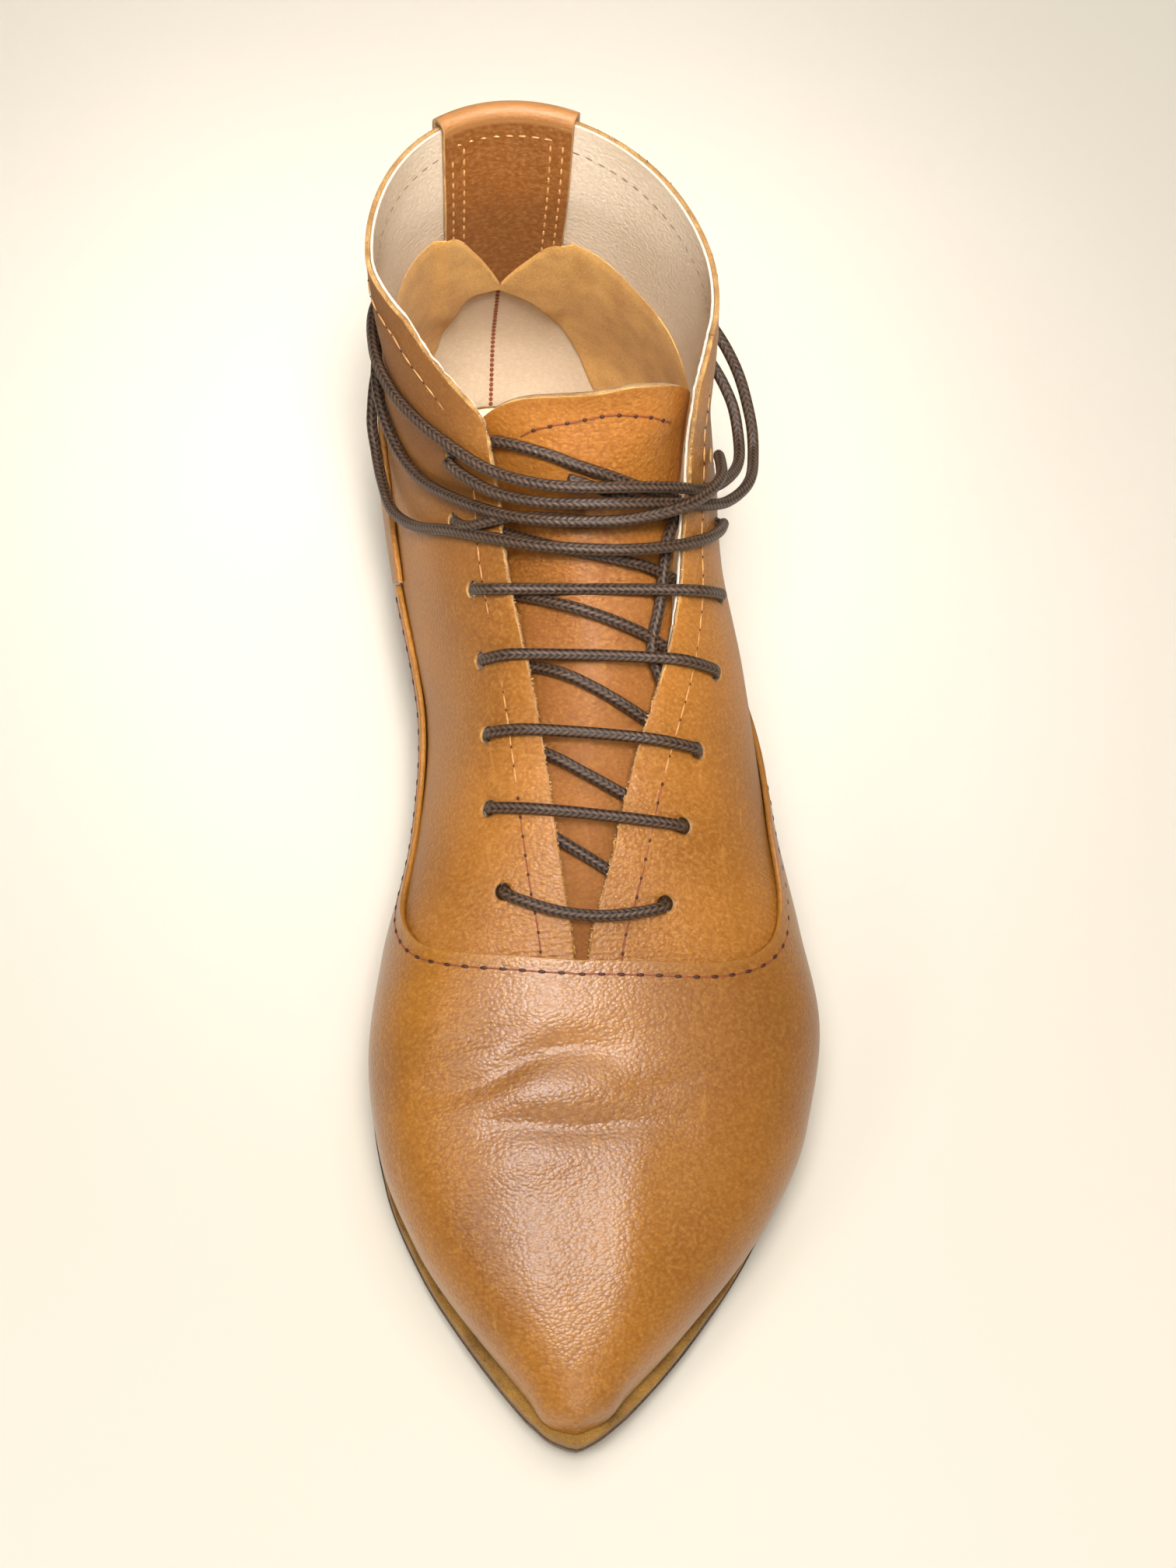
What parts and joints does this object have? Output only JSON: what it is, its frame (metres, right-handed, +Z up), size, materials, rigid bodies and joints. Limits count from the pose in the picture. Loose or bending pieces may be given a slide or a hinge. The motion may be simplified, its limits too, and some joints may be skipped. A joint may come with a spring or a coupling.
{
  "type": "lace-up ankle boot",
  "caption": "Left ankle boot with a pointed toe, low heel, open laced throat, folded back tab and a long round lace wound about the ankle.",
  "frame": {"origin": "on the floor under the middle of the heel", "axes": "+Z up; the toe points to -Y; the outer (lateral) side of this left boot is +X"},
  "size_m": [0.1035, 0.2733, 0.1385],
  "materials": {
    "outsole": "dark brown sole leather, matt",
    "midsole": "raw pale yellow-brown leather, fibrous edge",
    "heel": "stacked brown leather, waxed",
    "insole": "cream lining leather, smooth",
    "upper": "tan oiled leather with fine pebble grain",
    "vamp": "tan oiled leather, creased and softly glossy",
    "counter": "tan oiled leather with fine pebble grain",
    "back_tab": "tan leather, stitched",
    "tongue": "tan leather with a stitched top edge",
    "lacing": "dark brown waxed braided cord",
    "lace_wrap": "dark brown waxed braided cord",
    "lace_tail": "dark brown waxed braided cord"
  },
  "bodies": {
    "root": {"outsole": "outsole", "midsole": "midsole", "heel": "heel", "insole": "insole", "upper": "upper", "vamp": "vamp", "counter": "counter", "back_tab": "back_tab", "tongue": "tongue", "lacing": "lacing", "lace_wrap": "lace_wrap", "lace_tail": "lace_tail"}
  },
  "joints": []
}
